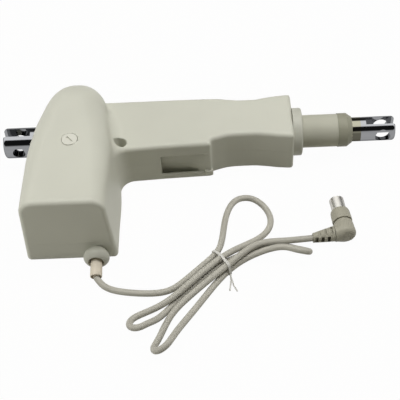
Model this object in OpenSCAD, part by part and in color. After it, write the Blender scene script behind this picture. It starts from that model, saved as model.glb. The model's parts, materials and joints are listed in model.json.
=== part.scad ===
// Linear actuator with a motor column set square across a lead-screw drive.
// The origin is the centre of the rear pin hole. X runs along the stroke, Y along the
// motor column and the pin holes, and Z up from the face that the actuator lies on.

/* [Travel] */
// Travel of the rod
stroke = 120; // [105:5:140]
// Pin to pin distance with the rod drawn in, less the travel
closed_extra = 180; // [176:1:190]

/* [Rear clevis] */
// Diameter of the rear clevis
rear_clevis_d = 25; // [22:0.5:27]
// Diameter of the rear pin hole
rear_hole_d = 10.2; // [8:0.1:12.4]
// From the rear pin to the tip of the clevis
rear_tip = 12.5; // [10:0.5:16]
// Width of the rear slot
rear_slot_w = 8; // [6:0.5:10]
// From the rear pin to the bottom of the rear slot
rear_slot_depth = 10; // [8:0.5:12]
// Rounding of both clevis tips
tip_round = 2.5; // [1:0.25:4]

/* [Front clevis and rod] */
// Outside diameter of the rod and the front clevis
rod_d = 20; // [18:0.5:21]
// Wall of the rod tube
rod_wall = 1.8; // [1.5:0.1:2.2]
// Diameter of the front pin hole
front_hole_d = 12.2; // [8:0.1:13]
// From the front pin to the tip of the clevis
front_tip = 10.5; // [9:0.5:14]
// Width of the front slot
front_slot_w = 8; // [6:0.5:10]
// From the front pin back to the bottom of the front slot
front_slot_depth = 13.5; // [11:0.5:15]
// From the front pin back to the joint between clevis and rod
clevis_back = 18; // [16:0.5:22]
// Length of the clevis spigot inside the rod
clevis_spigot = 20; // [14:1:26]
// Length of rod that shows when it is drawn in
rod_show = 7; // [4:0.5:12]

/* [Outer tube] */
// Outside diameter of the outer tube
tube_d = 27; // [25.4:0.2:28]
// Wall of the outer tube
tube_wall = 2; // [1.6:0.1:2.2]
// Length of tube between the collar and the cap
tube_show = 29.6; // [20:0.2:45]
// Diameter of the collar
collar_d = 39.4; // [37:0.2:42]
// Length of the collar outside the housing
collar_len = 7.8; // [6:0.2:14]
// Length of the cap on the tube end
cap_len = 11.7; // [10:0.1:15]
// Length of the tapered front of the cap
cap_taper = 4.2; // [3:0.1:7.5]
// Length of the guide bush in the tube end
guide_len = 18; // [12:1:26]

/* [Lead screw] */
// Outside diameter of the lead screw thread
screw_d = 12; // [11:0.1:12.4]
// Depth of the lead screw thread
screw_depth = 1.6; // [1.2:0.1:2]
// Lead of the screw in one turn
screw_lead = 6; // [5:0.5:8]
// Diameter of the plain journal that carries the worm wheel
journal_d = 14; // [13:0.5:16]
// Length of the nut flange
nut_flange_len = 8; // [6:0.5:10]
// Length of the nut spigot inside the rod
nut_spigot_len = 18; // [14:1:24]
// Play between screw and nut
screw_play = 0.3; // [0.25:0.05:0.4]

/* [Gearing] */
// Module of the worm and wheel
gear_module = 1.25; // [1.2:0.05:1.35]
// Teeth of the worm wheel
wheel_teeth = 20; // [19:1:21]
// Width of the worm wheel
wheel_w = 14; // [12:0.5:15]
// Pitch radius of the worm
worm_pitch_r = 5.5; // [5.25:0.05:6]
// Length of the worm
worm_len = 24; // [20:1:26]
// Backlash along the pitch line
backlash = 0.3; // [0.2:0.05:0.4]
// From the rear pin to the motor axis along the stroke
wheel_x = 48.5; // [46:0.5:54]

/* [Bearing] */
// Bore of the thrust bearing
bearing_bore = 12; // [11:0.5:12.5]
// Outside diameter of the thrust bearing
bearing_od = 26; // [25.5:0.5:27]
// Width of the thrust bearing
bearing_w = 7; // [6.5:0.5:8]
// Diameter of the bearing balls
ball_d = 4.8; // [4.2:0.1:5]
// Wall of the cup that holds the bearing
cup_wall = 2; // [1.75:0.25:2.5]
// Thickness of the cup floor
cup_floor = 3; // [2.5:0.5:4]

/* [Motor] */
// Diameter of the motor can
motor_d = 48; // [44:1:50]
// Length of the motor can
motor_len = 64; // [60:1:70]
// Wall of the motor can
can_wall = 2; // [1.5:0.1:2.5]
// Diameter of the motor shaft
shaft_d = 6; // [5:0.25:6.25]
// From the spindle axis to the front face of the motor can
motor_front = 30; // [29:0.5:34]
// Thickness of the brush end cap
end_cap_t = 5; // [4:0.5:7]

/* [Casing] */
// Wall of the casing
wall = 3; // [2.5:0.25:3.5]
// Space beside the motor in the column
side_gap = 8.5; // [8:0.25:10]
// Space above the motor in the column
top_gap = 2; // [1:0.25:4]
// Space between the motor and the near end of the column
end_gap = 7; // [6:0.5:12]
// Height of the collar's lowest point above the base
base_margin = 1.3; // [0.5:0.1:3]
// Height of the housing top above the spindle axis
housing_top = 19.5; // [19:0.25:21]
// From the spindle axis to the near side of the wide box
box_near = 30; // [29:0.5:32]
// From the spindle axis to the far side of the wide box
box_far = 25.2; // [24:0.2:27]
// Half width of the waist
waist_half = 20.4; // [20:0.1:21.5]
// Half width of the housing mouth
mouth_half = 24.6; // [23.5:0.1:26]
// Offset of the waist and the mouth to the far side
waist_shift = 1.4; // [0:0.1:1.8]
// Length of the waisted front of the housing
waist_len = 68; // [60:0.2:72]
// Rounding of the column's top corners
column_round = 13; // [10:1:18]
// Narrowing of the right side of the column towards its dome
column_taper = 6; // [4:0.5:8]
// Lean of the left side of the column over its height
left_lean = 3; // [1:0.5:4]
// Lean of the right side of the column over its height
right_lean = 5; // [2:0.5:5.5]
// Depth of the window in the near side
window_depth = 6; // [4:0.5:7]

/* [Fastenings and plugs] */
// Shank diameter of the casing screws
screw_shank_d = 3.5; // [3:0.1:4]
// Head diameter of the casing screws
screw_head_d = 7; // [6:0.25:7.5]
// Head diameter of the slotted plug
plug_head_d = 12; // [10:0.5:14]

/* [Cable] */
// Diameter of the cord
cord_d = 5; // [4.6:0.1:5]
// Largest diameter of the cable gland
gland_d = 20; // [18:0.5:20.5]
// Length of the cable gland outside the casing
gland_len = 11; // [9:0.5:11.5]
// Largest diameter of the plug body
plug_d = 16; // [14.5:0.25:16]
// Diameter of the plug's metal shell
plug_shell_d = 11.4; // [10.5:0.1:12]

/* [Hidden] */
$fn = 64;
eps = 0.01;

// Named clearances
seat_gap = 0.1;
run_gap = 0.08;
slide_gap = 0.2;
air_gap = 0.3;
part_gap = 0.05;

// Stations along the stroke
front_pin_x = stroke + closed_extra;
clevis_back_x = front_pin_x - clevis_back;
cap_front_x = clevis_back_x - rod_show;
tube_end_x = cap_front_x - cap_len;
collar_front_x = tube_end_x - tube_show;
housing_end_x = collar_front_x - collar_len;
box_end_x = housing_end_x - waist_len;
mouth_block_len = 19;
mouth_block_x = housing_end_x - mouth_block_len;

// Gearing
wheel_r = gear_module * wheel_teeth / 2;
wheel_tip_r = wheel_r + 0.92 * gear_module;
wheel_root_r = wheel_r - 1.2 * gear_module;
worm_tip_r = worm_pitch_r + 0.92 * gear_module;
worm_root_r = worm_pitch_r - 1.2 * gear_module;
worm_lead = PI * gear_module;
motor_z = wheel_r + worm_pitch_r;
wheel_back_x = wheel_x - wheel_w / 2;
wheel_front_x = wheel_x + wheel_w / 2;

// Bearing and rear clevis
thrust_collar_len = 3;
thrust_collar_d = journal_d + 3;
bearing_front_x = wheel_back_x - thrust_collar_len;
bearing_back_x = bearing_front_x - bearing_w;
cup_back_x = bearing_back_x - cup_floor;
cup_d = bearing_od + 2 * cup_wall;
ball_pitch_r = (bearing_bore + bearing_od) / 4;
ball_count = 9;
race_gap = 0.1;
race_land = 0.8;
cup_recess = 1;

// Screw, nut and tube
magnet_len = 3;
magnet_d = 2 * wheel_root_r + 2;
bush_back_x = wheel_front_x + magnet_len + 1.5;
bush_len = 7;
bush_wall = 3;
bush_front_x = bush_back_x + bush_len;
tube_back_x = bush_front_x + 2;
tube_seat_len = 8;
nut_back_x = tube_back_x + 2;
rod_back_x = nut_back_x + nut_flange_len;
nut_front_x = rod_back_x + nut_spigot_len;
rod_bore_d = rod_d - 2 * rod_wall;
tube_bore_d = tube_d - 2 * tube_wall;
screw_root_d = screw_d - 2 * screw_depth;
screw_end_x = nut_front_x + stroke + 4;
screw_start_x = bush_front_x - 1;
screw_segments = 16;
worm_segments = 20;

// Motor stack along the column
can_back_y = -motor_front - motor_len;
end_cap_back_y = can_back_y - end_cap_t;
boss_d = 16;
boss_len = 5;
bush_d = 10;
front_wall_t = 3;
shaft_back_y = end_cap_back_y + 1.5;
worm_bush_y = worm_len / 2 + 5;
worm_bush_len = 8;
worm_bush_d = 12;
shaft_front_y = worm_bush_y + worm_bush_len;
end_plate_t = 2;
core_d = 33;
core_len = 34;
brush_space = 16;
core_back_y = can_back_y + brush_space;
core_front_y = core_back_y + core_len;
winding_len = 5;
winding_d = 29;
commutator_d = 16;
commutator_len = 7;
commutator_back_y = core_back_y - winding_len - commutator_len;
brush_w = 4;
brush_len = 8;
brush_y = commutator_back_y + brush_w / 2 + 1;
holder_wall = 1.2;

// Casing
column_half = motor_d / 2 + side_gap + wall;
column_top = motor_z + motor_d / 2 + top_gap + wall;
base_z = -(collar_d / 2 + base_margin);
near_y = end_cap_back_y - end_gap - wall;
column_mid_z = (column_top + base_z) / 2;
dome_r = (column_top - base_z) / 2;
dome_y = 3;
taper_y = -60;
end_round = 4;
base_round = 5;
housing_round = 3.5;
column_right_x = wheel_x + column_half;
cavity_half = 20;
split_gap = 0.1;
floor_z = base_z + wall;

// Window in the near side of the wide box
window_back_x = box_end_x - 40.5;
window_front_x = box_end_x - 6;
window_top = 7.5;
window_bottom = -13.5;

// Casing screws, each as [x, y]
boss_r = 4.5;
column_boss_x = motor_d / 2 + air_gap + 3.75;
top_screw_at = [column_right_x + 2, -24];
cover_screw_at = [
    [wheel_x - column_boss_x, -64], [wheel_x + column_boss_x, -64],
    [column_right_x + 2, 20.5], [box_end_x - 8, 20.5], [box_end_x - 8, -21]
];
screw_well_depth = 10;
screw_head_len = 2.6;
screw_bite = 12;
top_well_z = 7;

// Gland and cable
gland_x = wheel_x + 19.5;
gland_z = base_z + gland_d / 2;
gland_hole_d = 11;
gland_nut_d = 12.4;
gland_nut_len = 5;
relief_r = cord_d * 0.88;
gland_front_y = near_y - gland_len;

// Slotted plug in the top of the column
plug_place_x = wheel_x + 1.9;
plug_place_y = -44.5;
plug_stem = 6;
plug_head_t = 1.5;
plug_body_d = plug_head_d - 4;
plug_slot_len = 0.56 * plug_head_d;
plug_slot_w = 1.4;
plug_slot_depth = 1;
plug_slot_turn = -51;

// Circuit board under the motor
board_t = 1.6;
board_z = floor_z + 4;
board_w = 45;
board_len = 40;
board_y = -86;
post_d = 5;

// Route of the cord from the gland to the plug, lying on the surface, with its three tight folds
cord_fold_r = 8.4;
cord_route = concat(
    [
        [68, -131, -14.5], [74.5, -140, -19], [97, -145.5, -17.5], [121.5, -146.5, -18], [133.5, -137, -17.5],
        [154, -116.5, -17.5], [164, -106.5, -17.5], [166.5, -77, -18], [173, -59, -18], [182, -53.5, -18.5],
        [193, -56, -18], [203.5, -70, -18.5], [204, -87, -17.5], [193, -98.5, -18.5], [171, -112, -12.5],
        [154, -126.5, -12], [135, -145.5, -12], [119.5, -159.5, -14]
    ],
    cord_fold([101.5, -172, -15], -145, 26),
    [
        [115.5, -170.5, -16], [126.5, -155, -19], [146, -137, -17], [162.5, -120.5, -17.5],
        [182.5, -112, -17], [203, -103.5, -16.5]
    ],
    cord_fold([223, -114, -12.5], -17, 130),
    [
        [209.5, -112.5, -8], [190, -114, -14], [171.5, -123, -17.5], [157.5, -139, -18], [143.5, -161, -16],
        [130, -182, -11.5]
    ],
    cord_fold([118.5, -192.5, -13], -124, 222),
    [
        [123.5, -167, -16], [134.5, -155.5, -14.5], [153.5, -138, -13], [172.5, -122.5, -11.5],
        [190, -107, -9.5], [210.5, -106, -11.5], [234.7, -100.1, -16.5]
    ]
);
cord_steps = 2;
cord_sides = 8;

// The tie that holds the bundle, and its two twisted ends
tie_at = [163.5, -120, 0];
tie_turn = 30;
tie_w = 2;
tie_t = 0.7;
tie_strands = [[9.9, -17.5], [1.1, -12.4], [-1.3, -17.3], [-7.7, -11.9], [-9, -17.4]];
tie_tails = [
    [[169.4, -130.2, -17.4], [169.8, -134.5, -19.2], [169.2, -139, -20.3], [168.5, -144, -20.3]],
    [[169.4, -130.2, -17.4], [170.2, -134.5, -19.2], [171.6, -139.5, -20.3], [174, -144.7, -20.3]]
];
tail_r = 0.6;

// Plug on the end of the cord
plug_turn = 6;
plug_gap = 0.1;
plug_at = [259.6, -96.6, base_z + plug_d / 2 + plug_gap];
plug_heel = 6.5;
plug_heel_round = 3;
plug_joint_y = 7.5;
plug_ring_len = 11.5;
plug_ring_d = plug_d - 0.4;
plug_shell_len = 11.9;
plug_shell_t = 0.6;
plug_insert_len = 6;
pin_d = 1.4;
pin_len = 5;
plug_neck = 8.5;
neck_turn = 4;
neck_shift = 1.7;
neck_len = 16.5;
neck_r = 5.2;
neck_end_r = 3.7;
neck_drop = 3.6;

// Plain helpers

// Solid of revolution about an axis along X, from a profile of [x, radius]
module turned_x(profile) {
    rotate([90, 0, 90])
        rotate_extrude()
            polygon([for (p = profile) [p[1], p[0]]]);
}

// Cylinder along X between two stations
module rod_x(x0, x1, d) {
    translate([x0, 0, 0])
        rotate([0, 90, 0])
            cylinder(d = d, h = x1 - x0);
}

// Cylinder along the motor axis between two stations
module rod_y(y0, y1, d) {
    translate([wheel_x, y0, motor_z])
        rotate([-90, 0, 0])
            cylinder(d = d, h = y1 - y0);
}

// Ring along X
module ring_x(x0, x1, d, bore) {
    difference() {
        rod_x(x0, x1, d);
        rod_x(x0 - 1, x1 + 1, bore);
    }
}

// Ring along the motor axis
module ring_y(y0, y1, d, bore) {
    difference() {
        rod_y(y0, y1, d);
        rod_y(y0 - 1, y1 + 1, bore);
    }
}

// Box from its lowest and highest corners
module box(low, high) {
    translate(low)
        cube(high - low);
}

// Sum of a list of vectors
function total(list) = [for (v = list) 1] * list;

// Vector square to a ring, which shows the way that its points run
function ring_normal(r) = total([for (i = [1 : len(r) - 2]) cross(r[i] - r[0], r[i + 1] - r[0])]);

// Closed solid through rings that have the same number of points
module loft(rings) {
    n = len(rings[0]);
    m = len(rings);
    forward = ring_normal(rings[0]) * (rings[1][0] - rings[0][0]) > 0;
    ordered = [for (r = rings) forward ? r : [for (j = [n - 1 : -1 : 0]) r[j]]];
    points = concat([for (r = ordered) each r], [total(rings[0]) / n, total(rings[m - 1]) / n]);
    sides = [
        for (i = [0 : m - 2], j = [0 : n - 1])
            each [
                [i * n + j, (i + 1) * n + j, (i + 1) * n + (j + 1) % n],
                [i * n + j, (i + 1) * n + (j + 1) % n, i * n + (j + 1) % n]
            ]
    ];
    first = [for (j = [0 : n - 1]) [m * n, j, (j + 1) % n]];
    last = [for (j = [0 : n - 1]) [m * n + 1, (m - 1) * n + (j + 1) % n, (m - 1) * n + j]];
    polyhedron(points, concat(sides, first, last));
}

// Rounded rectangle with its own radius at the top and bottom corners, k steps a corner
function round_rect(a0, a1, b0, b1, top_r, bottom_r, k) = [
    for (c = [
            [a1 - bottom_r, b0 + bottom_r, bottom_r, -90], [a1 - top_r, b1 - top_r, top_r, 0],
            [a0 + top_r, b1 - top_r, top_r, 90], [a0 + bottom_r, b0 + bottom_r, bottom_r, 180]
        ], i = [0 : k])
        [c[0] + c[2] * cos(c[3] + 90 * i / k), c[1] + c[2] * sin(c[3] + 90 * i / k)]
];

// Control points of a fold in the cord: its centre, the heading of its tip and the tilt of its plane
function cord_fold(c, heading, tilt) =
    let (
        along = [cos(heading), sin(heading), 0],
        across = [-sin(heading) * cos(tilt), cos(heading) * cos(tilt), sin(tilt)]
    )
    [for (a = [-112.5 : 45 : 112.5]) c + cord_fold_r * (cos(a) * along + sin(a) * across)];

// Points along a smooth line drawn by its route points, with k steps from each to the next
function smooth_line(p, k) =
    let (
        last = len(p) - 1,
        q = concat([2 * p[0] - p[1]], p, [2 * p[last] - p[last - 1]])
    )
    [
        for (i = [0 : last - 1], s = [0 : k - 1])
            let (t = s / k)
            ((1 - t) * (1 - t) * (1 - t) * q[i] + (3 * t * t * t - 6 * t * t + 4) * q[i + 1]
                + (3 * t * (1 + t - t * t) + 1) * q[i + 2] + t * t * t * q[i + 3]) / 6,
        p[last]
    ];

// Ring of a tube at a point, square to its direction
function tube_ring(at, along, r, sides) =
    let (
        d = along / norm(along),
        side = cross(d, [0, 0, 1]) / norm(cross(d, [0, 0, 1])),
        up = cross(side, d)
    )
    [for (i = [0 : sides - 1]) at + r * (cos(360 * i / sides) * side + sin(360 * i / sides) * up)];

// Tube along a line of points, with a radius for each
module tube_along(line, radii, sides) {
    last = len(line) - 1;
    loft([
        for (i = [0 : last])
            tube_ring(line[i], line[min(i + 1, last)] - line[max(i - 1, 0)], radii[i], sides)
    ]);
}

// Right-hand thread along Z, closed at both ends. The first crest starts at z = 0 on the +X side.
module thread(turns, lead, root_r, crest_r, root_w, crest_w, segments) {
    n = turns * segments;
    profile = [[root_r, -root_w / 2], [crest_r, -crest_w / 2], [crest_r, crest_w / 2], [root_r, root_w / 2]];
    helix = [
        for (k = [0 : n], p = profile)
            [p[0] * cos(360 * k / segments), p[0] * sin(360 * k / segments), lead * k / segments + p[1]]
    ];
    first = len(helix);
    last = first + 1;
    points = concat(helix, [[0, 0, -root_w / 2], [0, 0, lead * turns + root_w / 2]]);
    ridge = [
        for (k = [0 : n - 1], j = [0 : 2])
            each [
                [4 * k + j, 4 * k + j + 1, 4 * k + j + 5],
                [4 * k + j, 4 * k + j + 5, 4 * k + j + 4]
            ]
    ];
    valley = [
        for (k = [0 : n - segments - 1])
            each [
                [4 * k + 3, 4 * (k + segments), 4 * (k + segments) + 4],
                [4 * k + 3, 4 * (k + segments) + 4, 4 * k + 7]
            ]
    ];
    start = concat(
        [for (k = [0 : segments - 1]) [first, 4 * k, 4 * k + 4]],
        [for (j = [0 : 2]) [first, j + 1, j]],
        [[first, 4 * segments, 3]]
    );
    finish = concat(
        [for (k = [n - segments : n - 1]) [last, 4 * k + 7, 4 * k + 3]],
        [for (j = [0 : 2]) [last, 4 * n + j, 4 * n + j + 1]],
        [[last, 4 * (n - segments) + 3, 4 * n]]
    );
    polyhedron(points, concat(ridge, valley, start, finish));
}

// Casing shape

// Sections of the column as [y, left half, right half, top, bottom, top radius, bottom radius],
// drawn in by an inset
function column_sections(inset) =
    let (
        half = column_half - inset,
        top = column_top - inset,
        bottom = base_z + inset,
        top_r = column_round - inset,
        bottom_r = max(base_round - inset, 1),
        dome = dome_r - inset,
        edge = max(end_round - inset, 1),
        far_half = half - column_taper,
        reach = dome_y + dome - taper_y
    )
    concat(
        [for (a = [0, 30, 60])
            let (d = edge * (1 - sin(a)))
            [near_y + inset + edge * (1 - cos(a)), half - d, half - d, top - d, bottom + d,
                max(top_r - d, 1), max(bottom_r - d, 0.5)]],
        [[near_y + inset + edge, half, half, top, bottom, top_r, bottom_r]],
        [for (t = [0 : 3])
            let (
                y = taper_y + (dome_y - taper_y) * t / 3,
                left = half * sqrt(1 - pow((y - taper_y) / reach, 2))
            )
            [y, left, half - column_taper * t / 3, top, bottom, top_r * (1 + t / 20),
                bottom_r + (1.4 * base_round) * t / 3]],
        [for (a = [20, 38, 54, 68, 80])
            let (
                y = dome_y + dome * sin(a),
                h = dome * cos(a),
                left = half * sqrt(1 - pow((y - taper_y) / reach, 2)),
                right = far_half * cos(a),
                r = min(h, (left + right) / 2) * (0.75 + 0.24 * a / 80)
            )
            [y, left, right, column_mid_z + h, column_mid_z - h, r, r]]
    );

// Distance from the column's middle plane, drawn in by the lean of that side at a height
function leaned(x, z) =
    let (lean = x < 0 ? left_lean : right_lean)
    x * (1 - lean / column_half * (z - base_z) / (column_top - base_z));

module column(inset, k) {
    loft([
        for (s = column_sections(inset))
            [for (p = round_rect(-s[1], s[2], s[4], s[3], s[5], s[6], k))
                [wheel_x + leaned(p[0], p[1]), s[0], p[1]]]
    ]);
}

// Plan of the housing as [x, near side, far side]
function housing_plan() =
    let (w = waist_len, m = mouth_half, h = waist_half, c = waist_shift)
    [
        [wheel_x + 12, -box_near - 2, box_far], [column_right_x, -box_near - 2, box_far],
        [box_end_x - 25, -box_near + 0.5, box_far], [box_end_x, -box_near + 1.5, box_far - 0.2],
        [box_end_x + 1.5, c - h - 4.5, box_far - 0.6], [box_end_x + 0.14 * w, c - h - 1.6, c + h + 1.8],
        [box_end_x + 0.26 * w, c - h - 0.3, c + h + 0.6], [box_end_x + 0.4 * w, c - h, c + h],
        [box_end_x + 0.55 * w, c - h - 0.3, c + h + 0.3], [box_end_x + 0.7 * w, c - h - 1.8, c + h + 1.8],
        [box_end_x + 0.85 * w, c - m + 1, c + m - 1], [housing_end_x - 1.5, c - m, c + m]
    ];

function housing_ring(s, inset, k) = [
    for (p = round_rect(s[1] + inset, s[2] - inset, base_z + inset, housing_top - inset,
            housing_round - inset / 2, housing_round - inset / 2, k))
        [s[0], p[0], p[1]]
];

module housing() {
    plan = housing_plan();
    tip = plan[len(plan) - 1];
    loft(concat(
        [for (s = plan) housing_ring(s, 0, 3)],
        [housing_ring([housing_end_x, tip[1], tip[2]], 1.2, 3)]
    ));
}

// Hollow of the housing around the outer tube
module housing_hollow() {
    waist_room = waist_half - waist_shift - wall;
    loft([
        for (s = [
                [wheel_x + 12, cavity_half], [box_end_x - 6, cavity_half], [box_end_x + 8, waist_room],
                [mouth_block_x, waist_room]
            ])
            [for (p = round_rect(-s[1], s[1], floor_z, housing_top - wall, 4, 4, 2)) [s[0], p[0], p[1]]]
    ]);
}

module casing_outside() {
    column(0, 5);
    housing();
}

// Cross walls and bosses that stay solid inside the casing
module casing_seats() {
    high = column_top + 1;
    low = base_z - 1;
    box([wheel_x - column_half - 1, -20, low], [bearing_front_x + 1, 20, high]);
    box([bush_back_x, -20, low], [tube_back_x + tube_seat_len, 20, high]);
    for (y = [can_back_y + 2, -motor_front - 10])
        box([wheel_x - column_half - 1, y, low], [column_right_x + 1, y + 4, high]);
    box([wheel_x - column_half - 1, -motor_front, low], [column_right_x + 1, -motor_front + 4, high]);
    box([wheel_x - 16, worm_bush_y, low], [wheel_x + 16, shaft_front_y + end_plate_t, high]);
    for (p = concat([top_screw_at], cover_screw_at))
        translate([p[0], p[1], low])
            cylinder(r = boss_r, h = high - low);
}

// Upright slot along the motor axis, open towards the lower shell
module motor_slot(y0, y1, d) {
    rod_y(y0, y1, d);
    box([wheel_x - d / 2, y0, -1], [wheel_x + d / 2, y1, motor_z]);
}

// Room for what sits in the cross walls
module casing_bores() {
    rod_x(wheel_x - column_half - 2, cup_back_x + 1, rear_clevis_d + 2 * seat_gap);
    rod_x(cup_back_x - seat_gap, bearing_front_x + 2, cup_d + 2 * seat_gap);
    rod_x(bush_back_x - 1, bush_front_x + seat_gap, journal_d + 2 * bush_wall + 2 * seat_gap);
    rod_x(bush_front_x, tube_back_x + 1, journal_d + 2);
    rod_x(tube_back_x - seat_gap, housing_end_x + 2, tube_d + 2 * seat_gap);
    rod_x(collar_groove_x - seat_gap, collar_groove_x + collar_rim_len + seat_gap,
        collar_rim_d + 2 * seat_gap);
    rod_x(collar_groove_x, housing_end_x + 2, collar_spigot_d + 2 * seat_gap);
    motor_slot(can_back_y - 1, -motor_front + part_gap, motor_d + 2 * seat_gap);
    motor_slot(-motor_front - 1, -motor_front + 5, boss_d + 2 * seat_gap);
    motor_slot(worm_bush_y - 1, shaft_front_y + seat_gap, worm_bush_d + 2 * seat_gap);
}

// Window with a rounded floor that rises towards its front
module window_pocket() {
    floor_back_r = box_near - window_depth;
    floor_front_r = box_near - 1.5;
    difference() {
        box([window_back_x, -box_near - 5, window_bottom], [window_front_x, 0, window_top]);
        translate([window_back_x - 1, 0, 0])
            rotate([0, 90, 0])
                cylinder(r1 = floor_back_r, r2 = floor_front_r, h = window_front_x - window_back_x + 2);
    }
}

// Holes of the casing screws in both shells
module screw_holes() {
    well_d = screw_head_d + 1;
    translate([top_screw_at[0], top_screw_at[1], top_well_z])
        cylinder(d = well_d, h = column_top);
    translate([top_screw_at[0], top_screw_at[1], -screw_bite])
        cylinder(d = screw_shank_d, h = top_well_z + screw_bite + 1);
    for (p = cover_screw_at)
        translate([p[0], p[1], 0]) {
            translate([0, 0, base_z - 1])
                cylinder(d = well_d, h = screw_well_depth + 1);
            translate([0, 0, base_z])
                cylinder(d = screw_shank_d, h = screw_bite - base_z);
        }
}

// One half of the casing, the one above or the one below the spindle axis
module half_shell(side) {
    reach = 400;
    difference() {
        intersection() {
            casing_outside();
            translate([0, 0, side * (reach + split_gap / 2)])
                cube(2 * reach, center = true);
        }
        difference() {
            union() {
                column(wall, 4);
                housing_hollow();
            }
            casing_seats();
        }
        casing_bores();
        window_pocket();
        screw_holes();
        translate([gland_x, near_y - 1, gland_z])
            rotate([-90, 0, 0])
                cylinder(d = gland_hole_d + 2 * seat_gap, h = wall + 6);
        translate([plug_place_x, plug_place_y, column_top - plug_head_t])
            cylinder(d = plug_head_d + 2 * seat_gap, h = plug_stem);
        translate([plug_place_x, plug_place_y, column_top - plug_stem])
            cylinder(d = plug_body_d + 2 * seat_gap, h = 2 * plug_stem);
    }
}

// Collar sizes inside the housing mouth
collar_spigot_d = tube_d + 3.6;
collar_rim_d = collar_spigot_d + 3.4;
collar_rim_len = 4;
collar_depth = 12;
collar_groove_x = housing_end_x - collar_depth;

module upper_shell() {
    color("#cfccc0")
        half_shell(1);
}

module lower_shell() {
    post_w = worm_bush_d - 0.6;
    color("#c9c6ba") {
        half_shell(-1);
        difference() {
            box([wheel_x - post_w / 2, worm_bush_y + 0.5, -2],
                [wheel_x + post_w / 2, shaft_front_y, motor_z]);
            rod_y(worm_bush_y - 1, shaft_front_y + 1, worm_bush_d + 2 * seat_gap);
        }
        for (x = [5, board_w - 5], y = [5, board_len - 5])
            translate([wheel_x - board_w / 2 + x, board_y + y, floor_z - 1])
                cylinder(d = post_d, h = board_z - floor_z + 1);
    }
}

// Pan-head screw pointing down from the origin at the underside of its head
module casing_screw(length) {
    difference() {
        union() {
            cylinder(d = screw_head_d, h = screw_head_len);
            translate([0, 0, -length])
                cylinder(d = screw_shank_d - 2 * part_gap, h = length);
        }
        for (a = [0, 90])
            rotate(a)
                translate([-2, -0.5, screw_head_len - 1.4])
                    cube([4, 1, 2]);
    }
}

module top_screw() {
    color("#8f9194")
        translate([top_screw_at[0], top_screw_at[1], top_well_z])
            casing_screw(top_well_z + screw_bite - 1);
}

module cover_screws() {
    color("#8f9194")
        for (p = cover_screw_at)
            translate([p[0], p[1], base_z + screw_well_depth])
                rotate([180, 0, 0])
                    casing_screw(screw_bite - base_z - screw_well_depth - 1);
}

module slotted_plug() {
    color("#b9b5a6")
        translate([plug_place_x, plug_place_y, column_top - plug_head_t])
            difference() {
                union() {
                    cylinder(d = plug_head_d, h = plug_head_t);
                    translate([0, 0, -wall])
                        cylinder(d = plug_body_d, h = wall + 0.1);
                }
                rotate(plug_slot_turn)
                    translate([-plug_slot_len / 2, -plug_slot_w / 2, plug_head_t - plug_slot_depth])
                        cube([plug_slot_len, plug_slot_w, 2 * plug_slot_depth]);
            }
}

// Outer tube, its collar and its cap

module tube_collar() {
    edge = 1.5;
    color("#cbc8bc")
        difference() {
            union() {
                rod_x(collar_groove_x + collar_rim_len - 1, housing_end_x + 1, collar_spigot_d);
                rod_x(collar_groove_x, collar_groove_x + collar_rim_len, collar_rim_d);
                translate([housing_end_x + part_gap, 0, 0])
                    rotate([0, 90, 0])
                        rotate_extrude() {
                            square([collar_d / 2 - edge, collar_len - part_gap]);
                            square([collar_d / 2, collar_len - edge - part_gap]);
                            translate([collar_d / 2 - edge, collar_len - edge - part_gap])
                                circle(edge);
                        }
            }
            rod_x(collar_groove_x - 1, collar_front_x + 1, tube_d + 2 * part_gap);
        }
}

module outer_tube() {
    color("#c4c6c8")
        ring_x(tube_back_x, tube_end_x, tube_d, tube_bore_d);
}

module tube_cap() {
    lip = 0.4;
    nose_r = rod_d / 2 + 0.9;
    groove_x = tube_end_x + 2;
    color("#a59f8e")
        difference() {
            turned_x([
                [tube_end_x + part_gap, 0], [tube_end_x + part_gap, tube_d / 2 + lip],
                [cap_front_x - cap_taper, tube_d / 2 + lip], [cap_front_x, nose_r], [cap_front_x, 0]
            ]);
            rod_x(tube_end_x - 1, cap_front_x + 1, rod_d + 2 * slide_gap);
            rod_x(groove_x - part_gap, groove_x + wiper_len + part_gap,
                rod_d + 2 * wiper_depth + 2 * part_gap);
        }
}

// Wiper ring that sits in the cap
wiper_len = 3;
wiper_depth = 1.8;

module rod_wiper() {
    groove_x = tube_end_x + 2;
    color("#3a3a3a")
        ring_x(groove_x, groove_x + wiper_len, rod_d + 2 * wiper_depth, rod_d + 2 * run_gap);
}

module guide_bush() {
    color("#ddd8c8")
        ring_x(tube_end_x - guide_len, tube_end_x, tube_bore_d - 2 * part_gap, rod_d + 2 * run_gap);
}

// Rod with its clevis and nut

module piston_rod() {
    color("#c9cbcd")
        ring_x(rod_back_x, clevis_back_x, rod_d, rod_bore_d);
}

// Round bar along X with a rounded tip on its far end
module clevis_bar(length, d) {
    rotate([0, 90, 0])
        rotate_extrude() {
            square([d / 2 - tip_round, length]);
            square([d / 2, length - tip_round]);
            translate([d / 2 - tip_round, length - tip_round])
                circle(tip_round);
        }
}

module front_clevis() {
    slot_x = front_pin_x - front_slot_depth;
    color("#c9cbcd")
        difference() {
            union() {
                translate([clevis_back_x, 0, 0])
                    clevis_bar(clevis_back + front_tip, rod_d);
                rod_x(clevis_back_x - clevis_spigot, clevis_back_x + 1, rod_bore_d - 2 * part_gap);
            }
            box([slot_x, -front_slot_w / 2, -rod_d], [front_pin_x + front_tip + 1, front_slot_w / 2, rod_d]);
            translate([front_pin_x, -rod_d, 0])
                rotate([-90, 0, 0])
                    cylinder(d = front_hole_d, h = 2 * rod_d);
        }
}

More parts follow.
